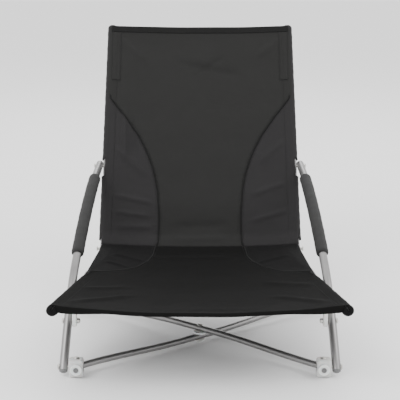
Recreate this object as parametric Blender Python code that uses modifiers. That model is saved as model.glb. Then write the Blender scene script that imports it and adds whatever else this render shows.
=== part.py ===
"""Low folding camp chair: two side frames on a flat X base, with a one-piece fabric sling.

Metres, +Z up, the sitter faces -Y.  The origin is on the ground under the middle of the
bounding box.  Right-hand pieces are at +X, and every left-hand piece mirrors one of them.
"""
import math

import bmesh
import bpy
from mathutils import Vector

# Overall placing: depths are given from the line of the front feet, then moved by Y_SHIFT.
Y_SHIFT = -0.2955

# Stock sizes.
TUBE_R = 0.008
STRUT_R = 0.00625
GRIP_R = 0.012
BOLT_R = 0.003
CLEAR = 0.0003
SHEET = 0.0016

# Pivots as (depth, height).
FOOT_FRONT = (0.0, 0.018)
FOOT_REAR = (0.36, 0.018)
RAIL_PIVOT = (0.058, 0.0862)
ARM_PIVOT = (0.487, 0.284)
WAIST = (0.381, 0.129)
POST_TOP = (0.671, 0.554)

# Lateral positions.
FOOT_X = 0.250
HUB_X = 0.226
ARM_SLOPE = 0.067
WAIST_X = 0.2035
POST_TOP_X = 0.1965
RAIL_FRONT = (0.256, -0.080)
RAIL_SLOPE = 0.192
RAIL_TAIL_X = 0.183
RAIL_END = 0.526
RAIL_DROP = 0.0607

# X base.
CROSS_DEPTH = 0.180
STRUT_BOW = 0.0081
STRUT_OVERRUN = 0.0055

# Fabric.
SEAT_FRONT = -0.088
SEAT_BACK = 0.366
SEAT_SAG = 0.022
BACK_SAG = 0.016

SIDES = (("r", 1), ("l", -1))


def clear_scene():
    for obj in list(bpy.data.objects):
        bpy.data.objects.remove(obj, do_unlink=True)


def collection(name):
    group = bpy.data.collections.new(name)
    bpy.context.scene.collection.children.link(group)
    return group


def material(name, colour, roughness, metallic=0.0):
    mat = bpy.data.materials.new(name)
    mat.use_nodes = True
    shader = mat.node_tree.nodes["Principled BSDF"]
    shader.inputs["Base Color"].default_value = (*colour, 1.0)
    shader.inputs["Roughness"].default_value = roughness
    shader.inputs["Metallic"].default_value = metallic
    return mat


clear_scene()
CHAIR = collection("camp_chair")
CUTTERS = collection("cutters")
STEEL = material("coated_steel", (0.55, 0.54, 0.53), 0.32, 0.9)
ZINC = material("zinc_plate", (0.62, 0.61, 0.58), 0.38, 1.0)
NYLON = material("white_nylon", (0.86, 0.86, 0.84), 0.45)
PLASTIC = material("grey_plastic", (0.30, 0.30, 0.30), 0.5)
FOAM = material("black_foam", (0.012, 0.012, 0.012), 0.92)
FABRIC = material("black_fabric", (0.030, 0.030, 0.029), 0.85)


def place(x, depth, height):
    """World position of a point given by its side offset, depth and height."""
    return Vector((x, depth + Y_SHIFT, height))


def add(name, mesh, mat, origin, group=None):
    obj = bpy.data.objects.new(name, mesh)
    obj.location = origin
    (group or CHAIR).objects.link(obj)
    if mat:
        mesh.materials.append(mat)
    return obj


def as_cutter(obj):
    obj.hide_render = True
    obj.display_type = "WIRE"
    return obj


def combine(obj, others, operation="DIFFERENCE"):
    for other in others:
        mod = obj.modifiers.new(operation.lower(), "BOOLEAN")
        mod.operation = operation
        mod.solver = "EXACT"
        mod.object = other


def smooth_path(points, step):
    """Points along a Catmull-Rom curve, about one for every step of length."""
    pts = [Vector(p) for p in points]
    pts = [2 * pts[0] - pts[1]] + pts + [2 * pts[-1] - pts[-2]]
    path = [pts[1]]
    for a, b, c, d in zip(pts, pts[1:], pts[2:], pts[3:]):
        count = max(1, round((c - b).length / step))
        for i in range(1, count + 1):
            t = i / count
            path.append(
                0.5
                * (
                    2 * b
                    + (c - a) * t
                    + (2 * a - 5 * b + 4 * c - d) * t * t
                    + (3 * b - a - 3 * c + d) * t * t * t
                )
            )
    return path


def rod(name, path, radius, mat, origin, sides=12, group=None):
    """A bent round bar as a closed mesh, with its origin where asked."""
    curve = bpy.data.curves.new(name + "_line", "CURVE")
    curve.dimensions = "3D"
    curve.bevel_depth = radius
    curve.bevel_resolution = sides // 2 - 2
    curve.use_fill_caps = True
    line = curve.splines.new("POLY")
    line.points.add(len(path) - 1)
    for point, position in zip(line.points, path):
        point.co = (*(position - origin), 1.0)
    guide = bpy.data.objects.new(name + "_line", curve)
    guide.location = origin
    CHAIR.objects.link(guide)
    graph = bpy.context.evaluated_depsgraph_get()
    mesh = bpy.data.meshes.new_from_object(guide.evaluated_get(graph))
    bm = bmesh.new()
    bm.from_mesh(mesh)
    bmesh.ops.remove_doubles(bm, verts=bm.verts, dist=0.00001)
    bmesh.ops.recalc_face_normals(bm, faces=bm.faces)
    bm.to_mesh(mesh)
    bm.free()
    obj = add(name, mesh, mat, origin, group)
    obj.matrix_world = guide.matrix_world.copy()
    obj.location = origin
    bpy.data.objects.remove(guide, do_unlink=True)
    mesh.shade_smooth()
    mesh.set_sharp_from_angle(angle=math.radians(40))
    return obj


def turned(name, profile, mat, origin, axis, steps=16, group=None):
    """A profile of (radius, height) pairs, from the top down, turned about an axis."""
    mesh = bpy.data.meshes.new(name)
    mesh.from_pydata(
        [(r, 0.0, h) for r, h in profile],
        [(i, i + 1) for i in range(len(profile) - 1)],
        [],
    )
    obj = add(name, mesh, mat, origin, group)
    obj.rotation_euler = Vector(axis).to_track_quat("Z", "Y").to_euler()
    screw = obj.modifiers.new("turn", "SCREW")
    screw.steps = steps
    screw.render_steps = steps
    screw.use_merge_vertices = True
    screw.merge_threshold = 0.00002
    screw.use_smooth_shade = True
    return obj


def drill(name, origin, axis, length, radius=BOLT_R + CLEAR):
    """A round cutter centred on a point."""
    half = length / 2
    profile = [(0, half), (radius, half), (radius, -half), (0, -half)]
    return as_cutter(turned(name, profile, None, origin, axis, 16, CUTTERS))


def block(name, low, high, mat, origin, bevel=0.0, group=None):
    """A box between two corners given from its origin, with optional rounded edges."""
    mesh = bpy.data.meshes.new(name)
    bm = bmesh.new()
    bmesh.ops.create_cube(bm, size=1.0)
    low, high = Vector(low), Vector(high)
    bmesh.ops.scale(bm, vec=high - low, verts=bm.verts)
    bmesh.ops.translate(bm, vec=(high + low) / 2, verts=bm.verts)
    bm.to_mesh(mesh)
    bm.free()
    obj = add(name, mesh, mat, origin, group)
    if bevel:
        mod = obj.modifiers.new("edges", "BEVEL")
        mod.width = bevel
        mod.segments = 3
        mod.limit_method = "ANGLE"
    return obj


def bolt(name, mat, origin, axis, grip, head_r=0.0058, head_h=0.0028):
    """A domed bolt: the underside of its head is at the origin, its shank runs back."""
    profile = [
        (0, head_h),
        (head_r * 0.62, head_h * 0.86),
        (head_r, head_h * 0.3),
        (head_r, 0),
        (BOLT_R, 0),
        (BOLT_R, -grip),
        (0, -grip),
    ]
    return turned(name, profile, mat, origin, axis, 12)


def cap_nut(name, mat, origin, axis, radius=0.0052, height=0.0062, depth=0.0036):
    """A domed nut whose open face is at the origin."""
    inner = BOLT_R + CLEAR
    profile = [
        (0, height),
        (radius * 0.7, height * 0.86),
        (radius, height * 0.55),
        (radius, 0),
        (inner, 0),
        (inner, depth),
        (0, depth),
    ]
    return turned(name, profile, mat, origin, axis, 12)


def plug(name, mat, origin, axis, radius=TUBE_R, length=0.006):
    """A short domed plug on the end of a tube."""
    profile = [
        (0, length),
        (radius * 0.55, length * 0.9),
        (radius * 0.97, length * 0.45),
        (radius * 0.97, 0),
        (0, 0),
    ]
    return turned(name, profile, mat, origin, axis, 12)


def arm_x(depth):
    return FOOT_X - ARM_SLOPE * depth


def post_x(height):
    share = (height - WAIST[1]) / (POST_TOP[1] - WAIST[1])
    return WAIST_X + (POST_TOP_X - WAIST_X) * share


def rail_x(depth):
    """Side offset of the seat rail's centre line."""
    straight = RAIL_FRONT[0] - RAIL_SLOPE * (depth - RAIL_FRONT[1])
    ease = 0.004
    lift = straight - RAIL_TAIL_X
    return RAIL_TAIL_X + 0.5 * (lift + math.sqrt(lift * lift + ease * ease))


def rail_z(depth):
    return WAIST[1] - RAIL_DROP * (depth - WAIST[0])


# X base: two struts that cross flat, one bowed over and one bowed under, with a spacer.


def strut(name, side, bow):
    """A strut from the front hub on one side to the rear hub on the other side."""
    centre = place(0, CROSS_DEPTH, FOOT_FRONT[1])
    reach = Vector((side * HUB_X, -CROSS_DEPTH, 0))
    overrun = 1 + STRUT_OVERRUN / reach.length
    path = []
    for i in range(-9, 10):
        share = i / 9
        ease = min(1.0, max(0.0, (0.92 - abs(share)) / 0.78))
        rise = bow * ease * ease * (3 - 2 * ease)
        path.append(centre + reach * share * overrun + Vector((0, 0, rise)))
    obj = rod(name, path, STRUT_R, STEEL, centre)
    holes = [
        drill(f"{name}_hole_{i}", centre + reach * i, (0, 0, 1), 0.06) for i in (-1, 0, 1)
    ]
    combine(obj, holes)
    return obj


strut("strut_a", 1, STRUT_BOW)
strut("strut_b", -1, -STRUT_BOW)
CROSS = place(0, CROSS_DEPTH, FOOT_FRONT[1])
STRUT_TOP = STRUT_BOW + STRUT_R + CLEAR
bolt("cross_bolt", ZINC, CROSS + Vector((0, 0, STRUT_TOP)), (0, 0, 1), 2 * STRUT_TOP + 0.0008)
turned(
    "cross_nut",
    [
        (BOLT_R + CLEAR, 0),
        (0.0094, 0),
        (0.0094, -0.0018),
        (0.0080, -0.0028),
        (BOLT_R + CLEAR, -0.0028),
        (BOLT_R + CLEAR, 0),
    ],
    NYLON,
    CROSS - Vector((0, 0, STRUT_TOP)),
    (0, 0, 1),
)
SPACER = STRUT_BOW - STRUT_R - CLEAR
turned(
    "cross_spacer",
    [
        (BOLT_R + CLEAR, SPACER),
        (0.0125, SPACER),
        (0.0125, -SPACER),
        (BOLT_R + CLEAR, -SPACER),
        (BOLT_R + CLEAR, SPACER),
    ],
    NYLON,
    CROSS,
    (0, 0, 1),
)


# Corner hubs: nylon blocks that stand on the ground and hold a strut end in a slot.


def hub(tag, side, way, depth):
    """way is +1 at the front, where the slot opens to the rear, and -1 at the rear."""
    origin = place(side * HUB_X, depth, 0)

    def box(low, high):
        xs = sorted((side * low[0], side * high[0]))
        ys = sorted((way * low[1], way * high[1]))
        return (xs[0], ys[0], low[2]), (xs[1], ys[1], high[2])

    low, high = box((-0.0125, -0.0125, 0), (0.0144, 0.0125, 0.034))
    body = block(f"hub_{tag}", low, high, NYLON, origin, 0.0050)
    disc = turned(
        f"disc_{tag}",
        [(0, 0.0165), (0.009, 0.0165), (0.0105, 0.015), (0.0105, 0.008), (0, 0.008)],
        None,
        origin + Vector((0, 0, 0.0178)),
        (0, -way, 0),
        24,
        CUTTERS,
    )
    combine(body, [as_cutter(disc)], "UNION")
    low, high = box((-0.03, -0.0092, 0.0109), (0.0092, 0.03, 0.0251))
    slot = as_cutter(block(f"slot_{tag}", low, high, None, origin, 0, CUTTERS))
    hole = drill(f"hub_hole_{tag}", origin + Vector((0, 0, 0.033)), (0, 0, 1), 0.06)
    side_hole = drill(
        f"hub_side_hole_{tag}",
        origin + Vector((side * 0.016, 0, FOOT_FRONT[1])),
        (1, 0, 0),
        0.016,
    )
    combine(body, [slot, hole, side_hole])
    bolt(f"hub_pin_{tag}", ZINC, origin + Vector((0, 0, 0.0343)), (0, 0, 1), 0.0302)


for tag, side in SIDES:
    hub("f" + tag, side, 1, FOOT_FRONT[0])
    hub("r" + tag, side, -1, FOOT_REAR[0])


# Arms: one tube each, from the rear hinge down through the armrest to the front foot.

ARM_LINE = [
    (0.4950, 0.2860),
    (0.4870, 0.2840),
    (0.4000, 0.2680),
    (0.3000, 0.2350),
    (0.2000, 0.1900),
    (0.1200, 0.1450),
    (0.0580, 0.0862),
    (0.0200, 0.0430),
    (0.0000, 0.0180),
    (-0.0040, 0.0128),
]
GRIP_FRONT = 0.176
GRIP_REAR = 0.423


def arm(tag, side):
    hinge = place(side * arm_x(0), *FOOT_FRONT)
    path = smooth_path([place(side * arm_x(d), d, z) for d, z in ARM_LINE], 0.022)
    tube = rod(f"arm_tube_{tag}", path, TUBE_R, STEEL, hinge)
    holes = []
    for name, (d, z) in (("foot", FOOT_FRONT), ("rail", RAIL_PIVOT), ("hinge", ARM_PIVOT)):
        at = place(side * arm_x(d), d, z)
        holes.append(drill(f"arm_{name}_hole_{tag}", at, (1, 0, 0), 0.03))
    combine(tube, holes)
    tip = path[-1] - path[-2]
    plug(f"leg_tip_{tag}", PLASTIC, path[-1] + tip.normalized() * CLEAR, tip, TUBE_R, 0.005)
    end = path[0] - path[1]
    plug(f"arm_end_plug_{tag}", PLASTIC, path[0] + end.normalized() * CLEAR, end, TUBE_R, 0.003)
    held = [
        p
        for p in smooth_path([place(side * arm_x(d), d, z) for d, z in ARM_LINE], 0.016)
        if GRIP_FRONT < p.y - Y_SHIFT < GRIP_REAR
    ]
    grip = rod(f"foam_grip_{tag}", held, GRIP_R, FOAM, hinge, 14)
    core = rod(f"grip_core_{tag}", path, TUBE_R + 0.0006, None, hinge, 12, CUTTERS)
    combine(grip, [as_cutter(core)])


def side_bolts(tag, side):
    """Bolts along X: their heads are on the outer side, their nuts on the inner side."""
    out = (side, 0, 0)
    inward = (-side, 0, 0)
    face = TUBE_R + 0.0009
    d, z = FOOT_FRONT
    at = place(side * (arm_x(d) + face), d, z)
    bolt(f"foot_bolt_f{tag}", ZINC, at, out, 2 * face + 0.0048)
    d, z = FOOT_REAR
    at = place(side * (FOOT_X + face), d, z)
    bolt(f"foot_bolt_r{tag}", ZINC, at, out, 2 * face - 0.0006)
    d, z = RAIL_PIVOT
    at = place(side * (arm_x(d) + face), d, z)
    bolt(f"rail_bolt_{tag}", ZINC, at, out, 0.0284)
    cap_nut(f"rail_nut_{tag}", ZINC, place(side * 0.2291, d, z), inward)
    d, z = ARM_PIVOT
    at = place(side * (arm_x(d) + face), d, z)
    bolt(f"arm_bolt_{tag}", ZINC, at, out, 0.0362)
    inner = post_x(z) - face
    cap_nut(f"arm_nut_{tag}", ZINC, place(side * inner, d, z), inward, 0.0050)
    d, z = WAIST
    at = place(side * (WAIST_X + TUBE_R + 0.0042), d, z)
    bolt(f"waist_bolt_{tag}", ZINC, at, out, 2 * TUBE_R + 0.0032)


# Back posts: straight from the top to the waist, then bent down and out to the rear foot.

POST_LINE = [
    (POST_TOP_X, *POST_TOP),
    (post_x(0.440), 0.671 - 0.114 * 0.29 / 0.425, 0.440),
    (post_x(0.330), 0.671 - 0.224 * 0.29 / 0.425, 0.330),
    (post_x(0.220), 0.671 - 0.334 * 0.29 / 0.425, 0.220),
    (post_x(0.165), 0.671 - 0.389 * 0.29 / 0.425, 0.165),
    (WAIST_X, *WAIST),
    (0.2175, 0.3722, 0.1000),
    (0.2370, 0.3675, 0.0740),
    (0.2488, 0.3638, 0.0510),
    (0.2504, 0.3616, 0.0340),
    (FOOT_X, *FOOT_REAR),
    (FOOT_X, 0.3596, 0.0110),
]


def post(tag, side):
    hinge = place(side * post_x(ARM_PIVOT[1]), *ARM_PIVOT)
    path = smooth_path([place(side * x, d, z) for x, d, z in POST_LINE], 0.030)
    tube = rod(f"back_post_{tag}", path, TUBE_R, STEEL, hinge)
    holes = []
    for name, x, (d, z) in (
        ("hinge", post_x(ARM_PIVOT[1]), ARM_PIVOT),
        ("waist", WAIST_X, WAIST),
        ("foot", FOOT_X, FOOT_REAR),
    ):
        holes.append(drill(f"post_{name}_hole_{tag}", place(side * x, d, z), (1, 0, 0), 0.03))
    combine(tube, holes)
    top = path[0] - path[1]
    plug(f"post_cap_{tag}", PLASTIC, path[0] + top.normalized() * CLEAR, top)
    foot = path[-1] - path[-2]
    plug(f"post_foot_{tag}", PLASTIC, path[-1] + foot.normalized() * CLEAR, foot, TUBE_R, 0.005)


# Seat rails: they carry the seat, hang on a bracket at the front and slide at the waist.


def rail(tag, side):
    hinge = place(side * rail_x(RAIL_PIVOT[0]), *RAIL_PIVOT)
    stops = [RAIL_FRONT[1] + 0.0303 * i for i in range(21)]
    path = [place(side * rail_x(d), d, rail_z(d)) for d in stops]
    tube = rod(f"seat_rail_{tag}", path, TUBE_R, STEEL, hinge)
    front = path[0] - path[1]
    plug(f"rail_cap_{tag}", PLASTIC, path[0] + front.normalized() * CLEAR, front)
    back = path[-1] - path[-2]
    plug(f"rail_plug_{tag}", PLASTIC, path[-1] + back.normalized() * CLEAR, back)
    d, z = RAIL_PIVOT
    top = rail_z(d)
    at = place(0, d, 0)

    def span(a, b):
        return sorted((side * a, side * b))

    xs = span(0.2295, 0.2376)
    name = f"rail_bracket_{tag}"
    ear = block(
        name, (xs[0], -0.0095, z - 0.0095), (xs[1], 0.0095, top - 0.0105), NYLON, at, 0.002
    )
    xs = span(0.2185, 0.2335)
    saddle = block(
        f"saddle_{tag}",
        (xs[0], -0.0150, top - 0.0160),
        (xs[1], 0.0150, top - 0.0010),
        None,
        at,
        0,
        CUTTERS,
    )
    combine(ear, [as_cutter(saddle)], "UNION")
    groove = rod(f"groove_{tag}", path, TUBE_R + 0.0005, None, hinge, 12, CUTTERS)
    hole = drill(f"bracket_hole_{tag}", place(side * 0.2335, d, z), (1, 0, 0), 0.03)
    combine(ear, [as_cutter(groove), hole])
    return path


def collar(tag, side):
    """A nylon collar that slides on the rail's tail beside the waist bolt."""
    at = place(side * RAIL_TAIL_X, *WAIST)
    along = Vector((0, 1, -RAIL_DROP))
    profile = [
        (TUBE_R + 0.0005, 0.011),
        (0.0102, 0.011),
        (0.0113, 0.0095),
        (0.0113, -0.0095),
        (0.0102, -0.011),
        (TUBE_R + 0.0005, -0.011),
        (TUBE_R + 0.0005, 0.011),
    ]
    turned(f"collar_{tag}", profile, NYLON, at, along, 20)


for tag, side in SIDES:
    arm(tag, side)
    post(tag, side)
    rail(tag, side)
    collar(tag, side)
    side_bolts(tag, side)


# Fabric: thin closed sheets that lie over the tubes and turn down around their outer sides.

WRAP_R = 0.0098
WRAP_STEPS = 4
SPAN_STEPS = 7


def section(centre_x, hold_x, top, sag, turn):
    """Half of a cross section as (x, rise) pairs, from the middle out and round a tube."""
    points = []
    for i in range(SPAN_STEPS):
        x = hold_x * i / SPAN_STEPS
        points.append((x, top - sag * (1 - (x / hold_x) ** 2)))
    if centre_x - hold_x > 0.001:
        points.append((hold_x, top))
    points.append((centre_x, top))
    while len(points) < SPAN_STEPS + 2:
        points.insert(-1, ((points[-2][0] + centre_x) / 2, top))
    for i in range(1, WRAP_STEPS + 1):
        angle = math.radians(90 - turn * i / WRAP_STEPS)
        points.append(
            (centre_x + WRAP_R * math.cos(angle), top + WRAP_R * (math.sin(angle) - 1))
        )
    return points


def sheet(name, rows, origin):
    """A closed thin sheet through rows of points that all have the same count."""
    mesh = bpy.data.meshes.new(name)
    bm = bmesh.new()
    across = len(rows[0])
    bmesh.ops.create_grid(bm, x_segments=across - 1, y_segments=len(rows) - 1, size=0.5)
    bm.verts.ensure_lookup_table()
    for j, row in enumerate(rows):
        for i, point in enumerate(row):
            bm.verts[j * across + i].co = point - origin
    bmesh.ops.recalc_face_normals(bm, faces=bm.faces)
    bm.to_mesh(mesh)
    bm.free()
    obj = add(name, mesh, FABRIC, origin)
    mod = obj.modifiers.new("cloth", "SOLIDIFY")
    mod.thickness = SHEET
    mod.offset = 0
    mesh.shade_smooth()
    return obj


def ramp(value):
    return min(1.0, max(0.0, value))


def both_sides(half):
    """Mirror a half section into a whole one, left to right."""
    return [(-x, r) for x, r in reversed(half[1:])] + half


def seat_edge(depth):
    """Centre line of the sheet's turned-down edge: on the rail, then out to the waist."""
    if depth < 0.13:
        return rail_x(depth)
    share = (depth - 0.13) / (SEAT_BACK - 0.13)
    return rail_x(0.13) + (0.2035 - rail_x(0.13)) * share


def seat_rows():
    rows = []
    for j in range(18):
        d = SEAT_FRONT + (SEAT_BACK - SEAT_FRONT) * j / 17
        share = (d - SEAT_FRONT) / (SEAT_BACK - SEAT_FRONT)
        sag = SEAT_SAG * (0.45 + 0.75 * math.sin(math.pi * min(1.0, 0.12 + share * 0.88)))
        turn = 120 - 50 * ramp((d - 0.04) / 0.08)
        top = rail_z(d) + WRAP_R + (0.004 * max(0.0, (share - 0.86) / 0.14))
        edge = seat_edge(d)
        hold = min(rail_x(d), edge)
        half = section(edge, hold, top, sag, turn)
        rows.append([place(x, d, r) for x, r in both_sides(half)])
    return rows


BACK_UP = Vector((0, 0.29, 0.425)).normalized()
BACK_OUT = Vector((0, -BACK_UP.z, BACK_UP.y))
ARM_HEIGHT = (ARM_PIVOT[1] - WAIST[1]) / BACK_UP.z
BACK_LENGTH = (POST_TOP[1] - WAIST[1]) / BACK_UP.z


def back_rows():
    rows = []
    base = place(0, *WAIST)
    low = 0.014
    high = BACK_LENGTH + 0.004
    for j in range(24):
        s = low + (high - low) * j / 23
        share = (s - low) / (high - low)
        sag = BACK_SAG * (0.5 + 0.5 * math.sin(math.pi * min(1.0, 0.1 + 0.9 * share)))
        x = post_x(WAIST[1] + s * BACK_UP.z)
        clear_of_arm = ramp((abs(s - ARM_HEIGHT) - 0.024) / 0.055)
        turn = 35 + 85 * clear_of_arm * ramp((s - 0.035) / 0.055)
        top = WRAP_R + 0.007 * max(0.0, 1 - (s - low) / 0.03)
        half = section(x, x, top, sag, turn)
        foot = base + BACK_UP * s
        rows.append([foot + BACK_OUT * r + Vector((w, 0, 0)) for w, r in both_sides(half)])
    return rows


sheet("sling_seat", seat_rows(), place(0, WAIST[0], WAIST[1]))
sheet("sling_back", back_rows(), place(0, WAIST[0], WAIST[1]))
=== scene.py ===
"""A low folding camp chair: a black fabric sling on a silver tube frame with a flat X base."""
import bpy
import bmesh
import math
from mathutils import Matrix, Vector


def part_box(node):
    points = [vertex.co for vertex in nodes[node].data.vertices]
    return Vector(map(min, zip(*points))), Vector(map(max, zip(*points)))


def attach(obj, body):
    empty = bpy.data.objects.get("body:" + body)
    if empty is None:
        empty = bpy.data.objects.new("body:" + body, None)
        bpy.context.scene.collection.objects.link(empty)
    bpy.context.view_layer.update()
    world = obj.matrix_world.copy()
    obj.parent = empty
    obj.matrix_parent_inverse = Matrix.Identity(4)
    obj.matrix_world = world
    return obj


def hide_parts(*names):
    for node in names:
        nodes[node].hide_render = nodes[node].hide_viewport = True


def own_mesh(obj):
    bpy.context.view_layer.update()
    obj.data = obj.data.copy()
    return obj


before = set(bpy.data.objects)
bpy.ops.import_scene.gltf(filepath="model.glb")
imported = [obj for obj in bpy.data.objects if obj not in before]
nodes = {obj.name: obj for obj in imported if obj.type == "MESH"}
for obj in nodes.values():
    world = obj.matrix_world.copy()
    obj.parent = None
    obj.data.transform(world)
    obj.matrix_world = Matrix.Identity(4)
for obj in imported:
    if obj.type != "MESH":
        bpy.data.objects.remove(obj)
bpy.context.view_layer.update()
bpy.ops.object.select_all(action="DESELECT")


# Setting: a pale seamless floor, a bright soft room, and three large soft lamps above it.
# The camera stands a little over two metres in front of the chair and looks slightly down.
bpy.ops.mesh.primitive_plane_add(size=14, location=(0, 0, -0.0004))
floor = bpy.context.object
floor.name = "studio_floor"
floor_paint = bpy.data.materials.new("studio_floor")
floor_paint.use_nodes = True
floor_shader = floor_paint.node_tree.nodes["Principled BSDF"]
floor_shader.inputs["Base Color"].default_value = (0.92, 0.92, 0.92, 1)
floor_shader.inputs["Roughness"].default_value = 0.9
floor.data.materials.append(floor_paint)

room = bpy.data.worlds.new("studio_room")
room.use_nodes = True
room.node_tree.nodes["Background"].inputs["Color"].default_value = (1, 1, 1, 1)
room.node_tree.nodes["Background"].inputs["Strength"].default_value = 1.65
bpy.context.scene.world = room

for lamp_name, place, size, power in (
    ("lamp_left", (-1.6, -1.5, 2.2), 1.5, 44),
    ("lamp_right", (1.9, -0.6, 1.9), 1.2, 18),
    ("lamp_back", (0.0, 2.0, 2.2), 1.6, 26),
):
    bpy.ops.object.light_add(type="AREA", location=place)
    lamp = bpy.context.object
    lamp.name = lamp_name
    lamp.data.size = size
    lamp.data.energy = power
    aim = Vector((0, 0, 0.25)) - Vector(place)
    lamp.rotation_euler = aim.to_track_quat("-Z", "Y").to_euler()

bpy.ops.object.camera_add(
    location=(0, -2.4085, 0.88), rotation=(math.radians(75.5), 0, 0)
)
camera = bpy.context.object
camera.data.lens = 111.0
camera.data.sensor_width = 36
bpy.context.scene.camera = camera


# Tube frame: bent steel tube with a thin silver powder coat, satin with a faint grain, rougher in
# patches and dulled where hands and ground rub it.  Each tube is made round along its CAD line,
# and SHIFT turns a depth behind the front feet into the frame's own y.
class Tone:
    """A number or colour made by shader nodes, with ordinary arithmetic."""

    def __init__(self, tree, socket):
        self.tree = tree
        self.socket = socket

    def make(self, kind, settings=None, out=0, **sockets):
        node = self.tree.nodes.new(kind)
        for key, value in (settings or {}).items():
            setattr(node, key, value)
        for key, value in sockets.items():
            slot = node.inputs[int(key[1:]) if key[1:].isdigit() else key.replace("_", " ")]
            if isinstance(value, Tone):
                self.tree.links.new(value.socket, slot)
            else:
                slot.default_value = value
        return Tone(self.tree, node.outputs[out])

    def maths(self, operation, a, b=0.0):
        return self.make("ShaderNodeMath", {"operation": operation}, i0=a, i1=b)

    def __add__(self, other):
        return self.maths("ADD", self, other)

    __radd__ = __add__

    def __sub__(self, other):
        return self.maths("SUBTRACT", self, other)

    def __rsub__(self, other):
        return self.maths("SUBTRACT", other, self)

    def __mul__(self, other):
        return self.maths("MULTIPLY", self, other)

    __rmul__ = __mul__

    def power(self, other):
        return self.maths("POWER", self, other)

    def sine(self):
        return self.maths("SINE", self)

    def limit(self):
        return self.make("ShaderNodeClamp", Value=self)

    def blend(self, low, high):
        return self.make(
            "ShaderNodeMix", {"data_type": "RGBA"}, 2, i0=self, i6=(*low, 1), i7=(*high, 1)
        )


def finish_start(name, roughness, metallic=0.0, **constants):
    """A new Principled finish; returns it, its shader and a Tone of its coordinates."""
    finish = bpy.data.materials.new(name)
    finish.use_nodes = True
    tree = finish.node_tree
    shader = tree.nodes["Principled BSDF"]
    shader.inputs["Roughness"].default_value = roughness
    shader.inputs["Metallic"].default_value = metallic
    for key, value in constants.items():
        shader.inputs[key.replace("_", " ")].default_value = value
    coords = tree.nodes.new("ShaderNodeTexCoord")
    return finish, shader, Tone(tree, coords.outputs["Object"]), coords


def feed(shader, **tones):
    for key, tone in tones.items():
        tone.tree.links.new(tone.socket, shader.inputs[key.replace("_", " ")])


def raise_bump(shader, height, strength, distance):
    bump = height.make(
        "ShaderNodeBump", Strength=strength, Distance=distance, Height=height
    )
    feed(shader, Normal=bump)


def repaint(finish, prefixes):
    for node_name, node in nodes.items():
        if node_name.startswith(prefixes):
            node.data.materials.clear()
            node.data.materials.append(finish)


coat, shader, where, _ = finish_start("silver_coat", 0.3, 0.82, Coat_Weight=0.15)
cloud = where.make("ShaderNodeTexNoise", Vector=where, Scale=22.0, Detail=4.0)
grain = where.make("ShaderNodeTexNoise", Vector=where, Scale=1400.0, Detail=1.0)
rub = where.make("ShaderNodeTexNoise", Vector=where, Scale=160.0, Detail=5.0, Roughness=0.7)
rub = ((rub - 0.6) * 6.0).limit()
tint = (cloud * 0.8 + grain * 0.2 - rub * 0.12).limit()
feed(shader, Base_Color=tint.blend((0.19, 0.186, 0.185), (0.34, 0.335, 0.332)))
feed(shader, Roughness=0.34 + cloud * 0.12 + rub * 0.14)
raise_bump(shader, grain, 0.04, 0.0002)

SHIFT = -0.2955
TUBE_R = 0.008
STRUT_R = 0.00625
ARM_LINE = (
    (0.4950, 0.2860), (0.4870, 0.2840), (0.4000, 0.2680), (0.3000, 0.2350),
    (0.2000, 0.1900), (0.1200, 0.1450), (0.0580, 0.0862), (0.0200, 0.0430),
)
LEG_LINE = ((0, 0.018), (-0.004, 0.0128))


def smooth_line(points, step):
    """A smooth curve through points, sampled about once for every step of its length."""
    pts = [Vector(p) for p in points]
    pts = [2 * pts[0] - pts[1]] + pts + [2 * pts[-1] - pts[-2]]
    line = [pts[1]]
    for a, b, c, d in zip(pts, pts[1:], pts[2:], pts[3:]):
        count = max(1, round((c - b).length / step))
        for i in range(1, count + 1):
            t = i / count
            line.append(
                0.5 * (2 * b + (c - a) * t + (2 * a - 5 * b + 4 * c - d) * t * t
                       + (3 * b - a - 3 * c + d) * t * t * t)
            )
    return line


def grid_piece(name, rows, close=False):
    """A sheet from a primitive grid, its corners put at rows of points, with its own map."""
    across = len(rows[0])
    bpy.ops.object.select_all(action="DESELECT")
    bpy.ops.mesh.primitive_grid_add(x_subdivisions=across - 1, y_subdivisions=len(rows) - 1)
    obj = bpy.context.object
    obj.name = name
    mesh = obj.data
    bm = bmesh.new()
    bm.from_mesh(mesh)
    bm.verts.ensure_lookup_table()
    for j, row in enumerate(rows):
        for i, point in enumerate(row):
            bm.verts[j * across + i].co = point
    layer = bm.loops.layers.uv.verify()
    along = [0.0]
    for a, b in zip(rows, rows[1:]):
        along.append(along[-1] + (b[across // 2] - a[across // 2]).length)
    over = []
    for row in rows:
        run = [0.0]
        for a, b in zip(row, row[1:]):
            run.append(run[-1] + (b - a).length)
        over.append([u - run[-1] / 2 for u in run])
    for face in bm.faces:
        for loop in face.loops:
            j, i = divmod(loop.vert.index, across)
            loop[layer].uv = (over[j][i], along[j])
    if close:
        bmesh.ops.remove_doubles(bm, verts=bm.verts, dist=0.00001)
    bmesh.ops.recalc_face_normals(bm, faces=bm.faces)
    bm.to_mesh(mesh)
    bm.free()
    return obj


def settle(obj, body, finish):
    """Bakes the piece's place into its mesh, and fixes it to its body."""
    bpy.ops.object.select_all(action="DESELECT")
    obj.select_set(True)
    bpy.context.view_layer.objects.active = obj
    bpy.ops.object.transform_apply(location=True, rotation=True, scale=True)
    if finish:
        obj.data.materials.clear()
        obj.data.materials.append(finish)
    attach(obj, body)


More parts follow.
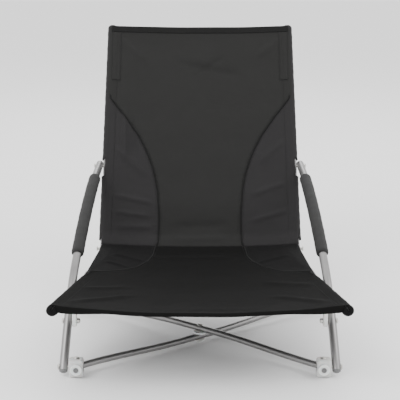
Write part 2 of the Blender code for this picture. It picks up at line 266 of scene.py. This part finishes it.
def tube(node, line, radius, body):
    """A bent round tube along a line of points, its cut ends eased, in place of a CAD node."""
    rings = []
    last = len(line) - 1
    stations = [(0, 0.0002), (0, radius - 0.0006), (0, radius - 0.0001)]
    stations += [(i, radius) for i in range(1, last)]
    stations += [(last, radius - 0.0001), (last, radius - 0.0006), (last, 0.0002)]
    for i, size in stations:
        ahead = (line[min(last, i + 1)] - line[max(0, i - 1)]).normalized()
        wide = Vector((1, 0, 0)) if abs(ahead.x) < 0.6 else Vector((0, 0, 1))
        wide = (wide - ahead * wide.dot(ahead)).normalized()
        up = ahead.cross(wide)
        rings.append(
            [line[i] + (wide * math.cos(a) + up * math.sin(a)) * size
             for a in [2 * math.pi * k / 40 for k in range(41)]]
        )
    obj = grid_piece(node + "_bent", rings, close=True)
    bm = bmesh.new()
    bm.from_mesh(obj.data)
    bmesh.ops.holes_fill(bm, edges=bm.edges)
    bmesh.ops.recalc_face_normals(bm, faces=bm.faces)
    bm.to_mesh(obj.data)
    bm.free()
    bpy.ops.object.shade_smooth_by_angle(angle=math.radians(50))
    settle(obj, body, coat)
    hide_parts(node)


def rail_x(d):
    lift = 0.256 - 0.192 * (d + 0.08) - 0.183
    return 0.183 + 0.5 * (lift + math.sqrt(lift * lift + 0.000016))


def rail_z(d):
    return 0.129 - 0.0607 * (d - 0.381)


POST_LINE = [(0.1965 + 0.007 * t, 0.671 - 0.29 * t, 0.554 - 0.425 * t)
             for t in (0, 0.114 / 0.425, 0.224 / 0.425, 0.334 / 0.425, 0.389 / 0.425, 1)]
POST_LINE += [
    (0.2175, 0.3722, 0.1000), (0.2370, 0.3675, 0.0740), (0.2488, 0.3638, 0.0510),
    (0.2504, 0.3616, 0.0340), (0.2500, 0.3600, 0.0180), (0.2500, 0.3596, 0.0110),
]
for tag, side in (("r", 1), ("l", -1)):
    line = [(side * (0.25 - 0.067 * d), d + SHIFT, z) for d, z in ARM_LINE + LEG_LINE]
    tube("arm_tube_" + tag, smooth_line(line, 0.006), TUBE_R, "arm_" + tag)
    line = [(side * x, d + SHIFT, z) for x, d, z in POST_LINE]
    tube("back_post_" + tag, smooth_line(line, 0.006), TUBE_R, "post_" + tag)
    stops = [-0.08 + 0.00606 * i for i in range(101)]
    line = [Vector((side * rail_x(d), d + SHIFT, rail_z(d))) for d in stops]
    tube("seat_rail_" + tag, line, TUBE_R, "rail_" + tag)
for node, side, bow in (("strut_a", 1, 0.0081), ("strut_b", -1, -0.0081)):
    line = []
    for i in range(-60, 61):
        share = i / 60
        ease = min(1.0, max(0.0, (0.92 - abs(share)) / 0.78))
        rise = bow * ease * ease * (3 - 2 * ease)
        reach = Vector((side * 0.226, -0.18, 0)) * share * 1.01904
        line.append(Vector((0, 0.18 + SHIFT, 0.018 + rise)) + reach)
    tube(node, line, STRUT_R, node)


# Fasteners: zinc-plated rivets, pins, bolts and nuts, with a slightly yellow mottled plate
# that is smeared rougher in places by handling.
zinc, shader, where, _ = finish_start("zinc_plate", 0.35, 1.0)
mottle = where.make("ShaderNodeTexVoronoi", Vector=where, Scale=420.0)
smear = where.make("ShaderNodeTexNoise", Vector=where, Scale=90.0, Detail=4.0)
worn = (mottle * 0.5 + smear * 0.5).limit()
feed(shader, Base_Color=worn.blend((0.5, 0.49, 0.46), (0.74, 0.73, 0.7)))
feed(shader, Roughness=0.24 + smear * 0.26)
raise_bump(shader, smear, 0.15, 0.0004)
repaint(
    zinc,
    (
        "hub_pin", "foot_bolt", "rail_bolt", "rail_nut",
        "arm_bolt", "arm_nut", "waist_bolt", "cross_bolt",
    ),
)


# Nylon mouldings: hubs, brackets, collars, spacer and washer, white with a fine moulded grain
# and a little darker towards the ground.  The hub bodies use a greyer copy of the nylon, painted
# shade.
nylon, shader, where, _ = finish_start("white_nylon", 0.42, 0.0, Subsurface_Weight=0.08)
haze = where.make("ShaderNodeTexNoise", Vector=where, Scale=60.0, Detail=5.0)
spark = where.make("ShaderNodeTexNoise", Vector=where, Scale=2200.0, Detail=1.0)
height = where.make("ShaderNodeSeparateXYZ", out=2, Vector=where)
# darker towards the ground
ground_darkening = ((0.016 - height) * 60.0).limit() * haze
haze_and_ground_darkening = (haze * 0.5 + ground_darkening * 0.6).limit()
feed(shader, Base_Color=haze_and_ground_darkening.blend((0.84, 0.84, 0.82), (0.64, 0.63, 0.61)))
feed(shader, Roughness=0.34 + haze * 0.2)
raise_bump(shader, spark + haze * 0.5, 0.12, 0.0003)
# hub bodies: a greyer copy of the white nylon, painted shade, so the white face discs stand out
# against it
hub_nylon_painted_shade, shader, where, _ = finish_start("hub_nylon_painted_shade", 0.45, 0.0, Subsurface_Weight=0.06)
haze = where.make("ShaderNodeTexNoise", Vector=where, Scale=70.0, Detail=5.0)
spark = where.make("ShaderNodeTexNoise", Vector=where, Scale=2000.0, Detail=1.0)
height = where.make("ShaderNodeSeparateXYZ", out=2, Vector=where)
# darker towards the ground
ground_darkening = ((0.014 - height) * 70.0).limit() * haze
haze_and_ground_darkening = (haze * 0.6 + ground_darkening * 0.6).limit()
feed(shader, Base_Color=haze_and_ground_darkening.blend((0.66, 0.66, 0.65), (0.44, 0.435, 0.42)))
feed(shader, Roughness=0.38 + haze * 0.2)
raise_bump(shader, spark + haze * 0.5, 0.14, 0.0003)
repaint(hub_nylon_painted_shade, ("hub_fr", "hub_fl", "hub_rr", "hub_rl"))
repaint(nylon, ("rail_bracket", "collar", "cross_nut", "cross_spacer"))


# Plugs: grey moulded caps pressed into the ends of the arms, posts and rails.  They are
# slightly hazy and uneven in gloss, as unpolished mouldings are.
grey, shader, where, _ = finish_start("grey_plug", 0.5)
haze = where.make("ShaderNodeTexNoise", Vector=where, Scale=300.0, Detail=3.0)
feed(shader, Base_Color=haze.blend((0.10, 0.10, 0.10), (0.17, 0.17, 0.17)))
feed(shader, Roughness=0.4 + haze * 0.2)
repaint(grey, ("leg_tip", "arm_end_plug", "post_cap", "post_foot", "rail_cap", "rail_plug"))


# Hub faces: each nylon hub carries a round boss with a raised rim and a grey pin end in it,
# facing forward on the front hubs and backward on the rear ones.
def turn_to(direction):
    return Vector(direction).to_track_quat("Z", "Y").to_euler()


def button(name, place, facing, radius, height, rim, body, finish):
    """A round button: a rim is left standing and the middle is sunk, and edges are eased."""
    bpy.ops.object.select_all(action="DESELECT")
    bpy.ops.mesh.primitive_cylinder_add(
        vertices=40, radius=radius, depth=height, location=place, rotation=turn_to(facing)
    )
    obj = bpy.context.object
    obj.name = name
    bpy.ops.object.mode_set(mode="EDIT")
    bpy.ops.mesh.select_mode(type="FACE")
    bpy.ops.mesh.select_all(action="DESELECT")
    bm = bmesh.from_edit_mesh(obj.data)
    for face in bm.faces:
        face.select = face.normal.z > 0.9
    bmesh.update_edit_mesh(obj.data)
    bpy.ops.mesh.inset(thickness=rim)
    bpy.ops.mesh.extrude_region_move(
        TRANSFORM_OT_translate={"value": tuple(Vector(facing).normalized() * -height * 0.35)}
    )
    bpy.ops.object.mode_set(mode="OBJECT")
    ease = obj.modifiers.new("ease", "BEVEL")
    ease.width = min(rim, height) * 0.22
    ease.segments = 2
    bpy.ops.object.modifier_apply(modifier="ease")
    bpy.ops.object.shade_smooth_by_angle(angle=math.radians(35))
    settle(obj, body, finish)
    return obj


for tag in ("fr", "fl", "rr", "rl"):
    low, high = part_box("hub_" + tag)
    way = -1 if tag[0] == "f" else 1
    front = low[1] if way < 0 else high[1]
    pin_low, pin_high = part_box("hub_pin_" + tag)
    middle = (pin_low[0] + pin_high[0]) / 2
    spot = (middle, front + way * 0.0011, 0.0178)
    facing = (0, way, 0)
    button("hub_face_" + tag, spot, facing, 0.0104, 0.0024, 0.0026, "hub_" + tag, nylon)
    spot = (middle, front + way * 0.0016, 0.0178)
    button(
        "hub_eye_" + tag, spot, facing, 0.0048, 0.0026, 0.0012, "hub_" + tag, grey
    )


# Foam grips: closed-cell foam sleeves pushed over the arm tubes.  The ends roll inward, and the
# skin is matt black with fine pores and slight hand dents.
foam, shader, where, _ = finish_start("black_foam", 0.9, 0.0, Sheen_Weight=0.04)
pores = where.make("ShaderNodeTexVoronoi", Vector=where, Scale=900.0)
dents = where.make("ShaderNodeTexNoise", Vector=where, Scale=120.0, Detail=4.0)
skin = (pores * 0.6 + dents * 0.4).limit()
feed(shader, Base_Color=skin.blend((0.005, 0.005, 0.005), (0.016, 0.0157, 0.0153)))
feed(shader, Roughness=0.78 + dents * 0.2)
raise_bump(shader, pores + dents * 0.8, 0.45, 0.0006)

for tag, side in (("r", 1), ("l", -1)):
    line = smooth_line(
        [(side * (0.25 - 0.067 * d), d + SHIFT, z) for d, z in ARM_LINE], 0.004
    )
    line = [p for p in line if 0.176 < p.y - SHIFT < 0.423]
    rings = []
    total = len(line) - 1
    profile = []
    for i, point in enumerate(line):
        end = min(i, total - i) * 0.004
        roll = max(0.0, 1 - end / 0.006)
        swell = 0.00025 * math.sin(i * 0.9) * math.sin(i * 0.37)
        profile.append((point, 0.0121 - 0.0024 * roll * roll + swell))
    profile = [(line[0], 0.0087)] + profile + [(line[-1], 0.0087)]
    for i, (point, radius) in enumerate(profile):
        before = line[max(0, min(total, i - 1) - 1)]
        after = line[min(total, max(0, i - 1) + 1)]
        direction = (after - before).normalized()
        wide = Vector((1, 0, 0))
        wide = (wide - direction * wide.dot(direction)).normalized()
        up = direction.cross(wide)
        ring = []
        for k in range(33):
            angle = 2 * math.pi * k / 32
            ring.append(point + (wide * math.cos(angle) + up * math.sin(angle)) * radius)
        rings.append(ring)
    grip = grid_piece("grip_foam_" + tag, rings, close=True)
    bpy.ops.object.shade_smooth()
    settle(grip, "arm_" + tag, foam)
    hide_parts("foam_grip_" + tag)


# Sling fabric: black polyester plain weave, with a soft bloom along the creases.  The outer
# panels are painted lighter and purplish as painted sheen, and the seat is painted darker as
# painted shade.  The weave follows the cloth's own map, in metres.
def cloth_finish(name, dark, light, sheen, gloss=0.3):
    finish, shader, where, coords = finish_start(
        name, 0.8, 0.0, Sheen_Weight=sheen, Sheen_Roughness=0.45, Specular_IOR_Level=gloss
    )
    lay = Tone(where.tree, coords.outputs["UV"])
    warp = where.make("ShaderNodeSeparateXYZ", out=0, Vector=lay)
    weft = where.make("ShaderNodeSeparateXYZ", out=1, Vector=lay)
    pitch = 2 * math.pi / 0.0011
    weave = (warp * pitch).sine() * (weft * pitch).sine() * 0.5 + 0.5
    slub = where.make("ShaderNodeTexNoise", Vector=lay, Scale=380.0, Detail=2.0)
    worn = where.make("ShaderNodeTexNoise", Vector=where, Scale=9.0, Detail=6.0, Roughness=0.62)
    crumple = where.make("ShaderNodeTexNoise", Vector=where, Scale=34.0, Detail=5.0, Roughness=0.55)
    shade = (weave * 0.3 + slub * 0.25 + worn * 0.55 + crumple * 0.15 - 0.12).limit()
    feed(shader, Base_Color=shade.blend(dark, light))
    feed(shader, Roughness=0.7 + worn * 0.18 + weave * 0.06)
    raise_bump(shader, weave * 0.25 + slub * 0.1 + crumple * 2.6, 0.5, 0.0014)
    return finish


middle_cloth = cloth_finish(
    "sling_middle", (0.0042, 0.0042, 0.0039), (0.0130, 0.0128, 0.0121), 0.02
)
# outer panels: a lighter, purplish copy of the same black cloth, painted sheen
outer_cloth_painted_sheen = cloth_finish("sling_outer_painted_sheen", (0.0048, 0.0044, 0.0047), (0.0160, 0.0149, 0.0157), 0.035)
# seat: a darker copy of the same black cloth, painted shade; its side panels are also lighter and
# purplish, painted sheen
seat_cloth_painted_shade = cloth_finish(
    "sling_seat_painted_shade", (0.0014, 0.0014, 0.0013), (0.0050, 0.0049, 0.0047), 0.005, 0.09
)
seat_side_painted_shade_and_sheen = cloth_finish(
    "sling_seat_side_painted_shade_and_sheen", (0.0017, 0.0016, 0.0017), (0.0062, 0.0060, 0.0061), 0.008, 0.1
)
binding_cloth = cloth_finish(
    "sling_binding", (0.0025, 0.0025, 0.0025), (0.0070, 0.0070, 0.0067), 0.02, 0.2
)

thread, shader, where, _ = finish_start("black_thread", 0.6, 0.0, Specular_IOR_Level=0.3)
twist = where.make("ShaderNodeTexNoise", Vector=where, Scale=1800.0, Detail=1.0)
feed(shader, Base_Color=twist.blend((0.004, 0.004, 0.004), (0.016, 0.0157, 0.0153)))

WAIST = Vector((0, 0.381 + SHIFT, 0.129))
UP = Vector((0, 0.29, 0.425)).normalized()
OUT = Vector((0, -UP.z, UP.y))
ARM_RISE = (0.284 - 0.129) / UP.z
BACK_TALL = (0.554 - 0.129) / UP.z
WRAP = 0.0098


def ramp(value):
    value = min(1.0, max(0.0, value))
    return value * value * (3 - 2 * value)


def read_off(table, at):
    """The value at a place in a table of (place, value) pairs, eased between them."""
    if at <= table[0][0]:
        return table[0][1]
    for (a, va), (b, vb) in zip(table, table[1:]):
        if at <= b:
            return va + (vb - va) * (at - a) / (b - a)
    return table[-1][1]


def crease(x, y, start, end, width, height):
    """A soft ridge or valley along a line on the flat cloth, fading at both ends."""
    dx, dy = end[0] - start[0], end[1] - start[1]
    long = math.hypot(dx, dy)
    t = ((x - start[0]) * dx + (y - start[1]) * dy) / long / long
    off = ((x - start[0]) * dy - (y - start[1]) * dx) / long
    fade = ramp(t / 0.3) * ramp((1 - t) / 0.3)
    return height * fade * math.exp(-(off / width) ** 2)


# Back panel: it hangs between the two posts in sleeves that close behind them, and is open at
# the arm hinges.  Two curved seams part a middle panel from two outer panels.
BACK_SEAM = (
    (0.000, 0.0935), (0.015, 0.0885), (0.070, 0.0867), (0.132, 0.0913), (0.170, 0.0980),
    (0.200, 0.1070), (0.230, 0.1190), (0.260, 0.1345), (0.300, 0.1620), (0.350, 0.2010),
    (0.360, 0.2100),
)
BACK_LOW = 0.004
BACK_HIGH = BACK_TALL + 0.006
BACK_CREASES = (
    ((-0.060, 0.438), (0.100, 0.402), 0.008, -0.0020),
    ((-0.020, 0.400), (0.060, 0.452), 0.007, -0.0012),
    ((-0.166, 0.330), (-0.160, 0.190), 0.005, 0.0024),
    ((-0.150, 0.310), (-0.140, 0.200), 0.006, -0.0018),
    ((-0.195, 0.120), (-0.090, 0.100), 0.005, 0.0022),
    ((-0.195, 0.082), (-0.095, 0.072), 0.005, 0.0018),
    ((-0.190, 0.048), (-0.090, 0.050), 0.006, 0.0016),
    ((0.195, 0.150), (0.100, 0.118), 0.006, 0.0018),
    ((0.195, 0.085), (0.098, 0.060), 0.005, 0.0018),
    ((0.190, 0.250), (0.120, 0.190), 0.007, 0.0014),
    ((-0.190, 0.235), (-0.110, 0.160), 0.007, 0.0016),
    ((-0.070, 0.050), (0.075, 0.056), 0.009, -0.0014),
    ((-0.080, 0.022), (0.080, 0.026), 0.007, 0.0018),
    ((0.188, 0.500), (0.120, 0.440), 0.008, 0.0012),
    ((-0.188, 0.500), (-0.110, 0.430), 0.008, 0.0014),
)


def post_x(s):
    return 0.2035 - 0.007 * s * UP.z / 0.425


def back_rise(s, x):
    """How far the cloth stands in front of the posts' line."""
    share = (s - BACK_LOW) / (BACK_HIGH - BACK_LOW)
    sag = 0.008 + 0.008 * math.sin(math.pi * min(1.0, 0.1 + 0.9 * share))
    sag += 0.009 * (1 - ramp((s - BACK_LOW) / 0.10))
    inner = min(1.0, abs(x) / post_x(s))
    rise = WRAP + 0.0085 * (1 - ramp((s - BACK_LOW) / 0.035)) - sag * (1 - inner ** 2.4)
    free = ramp((0.985 - inner) / 0.06)
    seam = read_off(BACK_SEAM, s)
    rise -= 0.0011 * free * math.exp(-((abs(x) - seam) / 0.0045) ** 2)
    pucker = math.sin(s * 520 + 2 * math.sin(s * 90)) * 0.00035
    rise += pucker * free * math.exp(-((abs(x) - seam) / 0.010) ** 2)
    hem = math.exp(-((abs(x) - post_x(s) + 0.015) / 0.003) ** 2)
    rise -= 0.0008 * free * hem
    for start, end, width, height in BACK_CREASES:
        rise += free * crease(x, s, start, end, width, height * 1.7)
    ripple = 0.0007 * math.sin(19 * x + 31 * s) * math.sin(43 * s - 27 * x + 1.3)
    return rise + free * ripple


def back_point(s, x, lift=0.0):
    return WAIST + UP * s + OUT * (back_rise(s, x) + lift) + Vector((x, 0, 0))


SPAN = 66
TURNS = 8
BACK_KEEP = 0.21
SEAT_KEEP = 0.28


def back_row(s):
    edge = post_x(s)
    turn = 22
    half = [back_point(s, edge * i / SPAN) for i in range(SPAN + 1)]
    other = [back_point(s, -edge * i / SPAN) for i in range(SPAN + 1)]
    foot = WAIST + UP * s
    for side, row in ((1, half), (-1, other)):
        centre = (row[-1] - foot).dot(OUT) - WRAP
        for k in range(1, TURNS + 1):
            angle = math.radians(90 - turn * k / TURNS)
            out = edge + WRAP * math.cos(angle)
            row.append(foot + OUT * (centre + WRAP * math.sin(angle)) + Vector((side * out, 0, 0)))
    return list(reversed(other[1:])) + half


def sew(obj, body, thick=0.0012):
    """Gives the cloth its thickness, smooths it, fixes it to its body and gives sling pieces their
    own mesh.
    """
    if thick:
        wall = obj.modifiers.new("wall", "SOLIDIFY")
        wall.thickness = thick
        wall.offset = 0
        bpy.context.view_layer.objects.active = obj
        bpy.ops.object.modifier_apply(modifier="wall")
    obj.data.shade_smooth()
    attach(obj, body)
    if body.startswith("sling"):
        keep = BACK_KEEP if body == "sling_back" else SEAT_KEEP
        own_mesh(obj)


rows = [back_row(BACK_LOW + (BACK_HIGH - BACK_LOW) * j / 150) for j in range(151)]
back = grid_piece("back_cloth", rows)
back.data.materials.append(middle_cloth)
back.data.materials.append(outer_cloth_painted_sheen)
for face in back.data.polygons:
    s = (face.center - WAIST).dot(UP)
    face.material_index = 1 if abs(face.center.x) > read_off(BACK_SEAM, s) else 0
sew(back, "sling_back")
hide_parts("sling_back")


# Seat panel: it lies over the two rails, turned down around them at the front, with a rolled
# edge from there to the waist, where it is sewn to the back.  The side seams run on into it.
SEAT_SEAM = (
    (0.120, 0.2300), (0.140, 0.2180), (0.165, 0.1930), (0.200, 0.1560), (0.240, 0.1260),
    (0.280, 0.1070), (0.320, 0.0985), (0.368, 0.0935),
)
SEAT_FRONT = -0.088
SEAT_END = 0.3684
SEAT_CREASES = (
    ((-0.235, -0.060), (-0.110, 0.050), 0.008, 0.0022),
    ((0.235, -0.060), (0.120, 0.040), 0.008, 0.0018),
    ((-0.225, 0.030), (-0.120, 0.110), 0.008, 0.0014),
    ((0.222, 0.050), (0.110, 0.150), 0.009, 0.0016),
    ((-0.200, 0.300), (-0.100, 0.270), 0.006, 0.0022),
    ((0.200, 0.290), (0.105, 0.262), 0.006, 0.0018),
    ((-0.100, 0.340), (0.100, 0.344), 0.008, -0.0022),
    ((-0.120, 0.310), (0.090, 0.316), 0.009, 0.0016),
    ((-0.060, -0.070), (0.080, -0.060), 0.012, -0.0010),
    ((-0.205, 0.240), (-0.140, 0.225), 0.005, 0.0022),
)


def seat_edge(d):
    if d < 0.13:
        return rail_x(d)
    share = (d - 0.13) / (0.366 - 0.13)
    return rail_x(0.13) + (0.2035 - rail_x(0.13)) * min(1.0, share)


def seat_height(d, x):
    share = (d - SEAT_FRONT) / (SEAT_END - SEAT_FRONT)
    sag = 0.022 * (0.45 + 0.75 * math.sin(math.pi * min(1.0, 0.12 + share * 0.88)))
    hold = min(rail_x(d), seat_edge(d))
    inner = min(1.0, abs(x) / hold)
    free = ramp((0.985 - inner) / 0.08)
    top = rail_z(d) + WRAP - sag * (1 - inner ** 2.3)
    seam = read_off(SEAT_SEAM, d) if d > 0.12 else 9
    top -= 0.0011 * free * math.exp(-((abs(x) - seam) / 0.0045) ** 2)
    if d < 0.10:
        top -= 0.0007 * free * math.exp(-((abs(x) - hold + 0.016) / 0.003) ** 2)
    for start, end, width, height in SEAT_CREASES:
        top += free * crease(x, d, start, end, width, height * 1.7)
    top += free * 0.0009 * math.sin(23 * x + 17 * d) * math.sin(37 * d - 21 * x + 0.7)
    return top


def seat_point(d, x, lift=0.0):
    """A point on the seat; over its last stretch it rises to the back panel's lower edge."""
    point = Vector((x, d + SHIFT, seat_height(d, x)))
    join = ramp((d - 0.325) / (SEAT_END - 0.325))
    if join:
        joined = back_point(BACK_LOW, x * post_x(BACK_LOW) / seat_edge(SEAT_END))
        joined.y += (d - SEAT_END)
        joined.y = point.y + (joined.y - point.y) * join
        point = Vector((x, joined.y, point.z + (joined.z - point.z) * join))
    return point + Vector((0, 0, lift))


def seat_row(d):
    edge = seat_edge(d)
    radius = WRAP - 0.0062 * ramp((d - 0.09) / 0.07)
    turn = 22 + 190 * ramp((d - 0.115) / 0.03)
    half = [seat_point(d, edge * i / SPAN) for i in range(SPAN + 1)]
    other = [seat_point(d, -edge * i / SPAN) for i in range(SPAN + 1)]
    for side, row in ((1, half), (-1, other)):
        top = row[-1].copy()
        for k in range(1, TURNS + 1):
            angle = math.radians(90 - turn * k / TURNS)
            row.append(
                top + Vector((side * radius * math.cos(angle), 0, radius * (math.sin(angle) - 1)))
            )
    return list(reversed(other[1:])) + half


rows = [seat_row(SEAT_FRONT + (SEAT_END - SEAT_FRONT) * j / 130) for j in range(131)]
seat = grid_piece("seat_cloth", rows)
seat.data.materials.append(seat_cloth_painted_shade)
seat.data.materials.append(seat_side_painted_shade_and_sheen)
for face in seat.data.polygons:
    d = face.center.y - SHIFT
    seam = read_off(SEAT_SEAM, d) if d > 0.12 else 9
    face.material_index = 1 if abs(face.center.x) > seam else 0
sew(seat, "sling_seat")
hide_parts("sling_seat")


# Sleeves: the cloth's side edges are sewn into tubes around the posts and the rails.  They are
# open at the arm hinges and under the rail brackets, and closed over the tube ends.
def sleeve(name, stations, body, finish):
    """A cloth tube; each station is (centre, outward, up, radius, first and last angle)."""
    rows = []
    for centre, outward, up, radius, first, last in stations:
        row = []
        for k in range(37):
            angle = first + (last - first) * k / 36
            tuck = 0.0008 * ramp((angle - 60) / 22)
            size = max(0.0002, radius - tuck * min(1.0, radius / WRAP))
            angle = math.radians(angle)
            row.append(centre + outward * (math.cos(angle) * size) + up * (math.sin(angle) * size))
        rows.append(row)
    obj = grid_piece(name, rows)
    obj.data.materials.append(finish)
    sew(obj, body)
    return obj


def dome(step, count):
    """The share of full radius and of height for a step of a rounded end."""
    turn = math.pi / 2 * step / count
    return math.cos(turn), math.sin(turn)


for tag, side in (("r", 1), ("l", -1)):
    outward = Vector((side, 0, 0))
    for part, low, high in (
        ("lower", 0.020, ARM_RISE - 0.026),
        ("upper", ARM_RISE + 0.014, BACK_HIGH - 0.001),
    ):
        stations = []
        for j in range(61):
            s = low + (high - low) * j / 60
            slack = 0.00035 * math.sin(s * 260 + side) * math.sin(s * 97)
            flare = 0.0006 * math.exp(-min(s - low, abs(high - s)) / 0.004)
            if part == "upper":
                flare *= s < (low + high) / 2
            centre = WAIST + UP * s + Vector((side * post_x(s), 0, 0))
            stations.append((centre, outward, OUT, WRAP + slack + flare, 108, -236))
        if part == "upper":
            for j in range(1, 8):
                share, rise = dome(j, 7)
                s = high + 0.0072 * rise
                centre = WAIST + UP * s + Vector((side * post_x(s), 0, 0))
                stations.append((centre, outward, OUT, WRAP * share, 108, -236))
        sleeve(f"back_sleeve_{part}_{tag}", stations, "post_" + tag, outer_cloth_painted_sheen)
    stations = []
    rail_up = Vector((0, 0, 1))
    for j in range(7, 0, -1):
        share, rise = dome(j, 7)
        d = SEAT_FRONT + 0.002 - 0.0078 * rise
        centre = Vector((side * rail_x(d), d + SHIFT, rail_z(d)))
        stations.append((centre, outward, rail_up, WRAP * share, 108, -236))
    for j in range(71):
        d = SEAT_FRONT + 0.002 + 0.208 * j / 70
        notch = 1 - ramp((abs(d - 0.058) - 0.018) / 0.010)
        slack = 0.00035 * math.sin(d * 240 + side) * math.sin(d * 110 + 1)
        centre = Vector((side * rail_x(d), d + SHIFT, rail_z(d)))
        stations.append((centre, outward, rail_up, WRAP + slack, 108, -236 + 216 * notch))
    sleeve("seat_sleeve_" + tag, stations, "rail_" + tag, seat_side_painted_shade_and_sheen)


# Piping: a cord in a folded strip is sewn into each curved seam, from the back's side edge
# down through the waist and out to the seat's side edge.
def cord_strip(name, line, radius, body, finish):
    """A thin round strip along a line of points, closed at its ends."""
    rings = []
    for i, point in enumerate(line):
        ahead = line[min(len(line) - 1, i + 1)] - line[max(0, i - 1)]
        ahead.normalize()
        wide = ahead.orthogonal() if i == 0 else wide - ahead * wide.dot(ahead)
        wide = wide.normalized()
        up = ahead.cross(wide)
        size = radius * (0.25 if i in (0, len(line) - 1) else 1.0)
        rings.append(
            [point + (wide * math.cos(a) + up * math.sin(a)) * size
             for a in [2 * math.pi * k / 8 for k in range(9)]]
        )
    obj = grid_piece(name, rings, close=True)
    bm = bmesh.new()
    bm.from_mesh(obj.data)
    bmesh.ops.holes_fill(bm, edges=bm.edges)
    bmesh.ops.recalc_face_normals(bm, faces=bm.faces)
    bm.to_mesh(obj.data)
    bm.free()
    obj.data.materials.append(finish)
    sew(obj, body, thick=0)
    return obj


for tag, side in (("r", 1), ("l", -1)):
    line = []
    for j in range(90):
        s = BACK_LOW + 0.001 + (0.352 - BACK_LOW) * j / 89
        line.append(back_point(s, side * min(read_off(BACK_SEAM, s), post_x(s) - 0.002), 0.0010))
    cord_strip("back_piping_" + tag, line, 0.0016, "sling_back", binding_cloth)
    line = []
    for j in range(70):
        d = 0.124 + (SEAT_END - 0.125) * j / 69 if j else 0.124
        d = min(d, SEAT_END - 0.0005)
        line.append(seat_point(d, side * min(read_off(SEAT_SEAM, d), seat_edge(d) - 0.002), 0.0010))
    cord_strip("seat_piping_" + tag, line, 0.0016, "sling_seat", binding_cloth)


# Hems: the top edge of the back and the front edge of the seat are turned over and bound with
# a woven strip, and each top corner has a sewn patch that caps its post.
def overlay(name, place_at, us, vs, lift, body, finish, thick=0.0011):
    rows = [[place_at(v, u, lift) for u in us] for v in vs]
    obj = grid_piece(name, rows)
    obj.data.materials.append(finish)
    sew(obj, body, thick=thick)
    return obj


across = [0.204 * (i / 45 - 1) for i in range(91)]
overlay(
    "back_top_hem", back_point, [x * 0.965 for x in across],
    [BACK_HIGH - 0.014 + 0.0145 * j / 8 for j in range(9)], 0.0012, "sling_back", binding_cloth,
)
rows = [
    [seat_point(SEAT_FRONT + 0.012 * (1 - j / 8) - 0.0008, x * 1.235, 0.0011) for x in across]
    for j in range(9)
]
for j in range(1, 9):
    row = []
    for x, top in zip(across, rows[8]):
        fall = 0.0060 + 0.0060 * ramp((abs(x * 1.235) - 0.15) / 0.09)
        curl = math.sin(math.pi / 2 * min(1.0, j / 3))
        row.append(top + Vector((0, -0.0013 * curl, -fall * j / 8)))
    rows.append(row)
hem = grid_piece("seat_front_hem", rows)
hem.data.materials.append(seat_cloth_painted_shade)
sew(hem, "sling_seat", 0.0011)
for tag, side in (("r", 1), ("l", -1)):
    overlay(
        "corner_patch_" + tag, back_point,
        [side * (0.176 + 0.0185 * i / 12) for i in range(13)],
        [0.388 + (BACK_HIGH - 0.015 - 0.388) * j / 40 for j in range(41)],
        0.0010, "sling_back", middle_cloth, 0.0009,
    )


# Stitching: black thread, one short rounded stitch every 3.4 mm, beside the piping, along the
# sleeves, around the patches and along both hems.
def stitch_row(name, line, body):
    """Short thread loops laid end to end along a line of points."""
    bm = bmesh.new()
    run, last = 0.0, line[0]
    for point in line[1:]:
        run += (point - last).length
        if run >= 0.0034:
            run = 0.0
            ahead = (point - last).normalized()
            turn = ahead.to_track_quat("Z", "Y").to_matrix()
            made = bmesh.ops.create_cone(
                bm, cap_ends=True, segments=6, radius1=0.0003, radius2=0.0003, depth=0.0024
            )["verts"]
            for vert in made:
                vert.co = point + turn @ vert.co
        last = point
    mesh = bpy.data.meshes.new(name)
    bm.to_mesh(mesh)
    bm.free()
    obj = bpy.data.objects.new(name, mesh)
    bpy.context.scene.collection.objects.link(obj)
    mesh.materials.append(thread)
    sew(obj, body, thick=0)
    return obj


def back_line(pairs, lift=0.0009, fine=700):
    line = []
    for i in range(fine + 1):
        t = i / fine * (len(pairs) - 1)
        k = min(int(t), len(pairs) - 2)
        a, b, f = pairs[k], pairs[k + 1], t - int(t) if t < len(pairs) - 1 else 1
        line.append(back_point(a[0] + (b[0] - a[0]) * f, a[1] + (b[1] - a[1]) * f, lift))
    return line


for tag, side in (("r", 1), ("l", -1)):
    for label, shift in (("in", -0.0042), ("out", 0.0042)):
        line = []
        for j in range(900):
            s = BACK_LOW + 0.002 + (0.335 - BACK_LOW) * j / 899
            line.append(back_point(s, side * (read_off(BACK_SEAM, s) + shift), 0.0009))
        stitch_row(f"back_seam_stitches_{label}_{tag}", line, "sling_back")
        line = []
        for j in range(600):
            d = 0.145 + (SEAT_END - 0.002 - 0.145) * j / 599
            line.append(seat_point(d, side * (read_off(SEAT_SEAM, d) + shift), 0.0009))
        stitch_row(f"seat_seam_stitches_{label}_{tag}", line, "sling_seat")
    sleeve = [(s, side * (post_x(s) - 0.015)) for s in (0.03, 0.15, 0.27, 0.388)]
    stitch_row("sleeve_stitches_" + tag, back_line(sleeve, fine=1100), "sling_back")
    patch = [(BACK_HIGH - 0.016, side * 0.178), (0.390, side * 0.178), (0.390, side * 0.1935)]
    stitch_row("patch_stitches_" + tag, back_line(patch, 0.0017), "sling_back")
    line = []
    for j in range(501):
        d = -0.075 + 0.18 * j / 500
        line.append(seat_point(d, side * (rail_x(d) - 0.016), 0.0009))
    stitch_row("seat_sleeve_stitches_" + tag, line, "sling_seat")
line = [back_point(BACK_HIGH - 0.012, 0.192 * (j / 500 - 1), 0.0020) for j in range(1001)]
stitch_row("top_hem_stitches", line, "sling_back")
line = [seat_point(SEAT_FRONT + 0.0092, 0.24 * (j / 500 - 1), 0.0019) for j in range(1001)]
stitch_row("front_hem_stitches", line, "sling_seat")
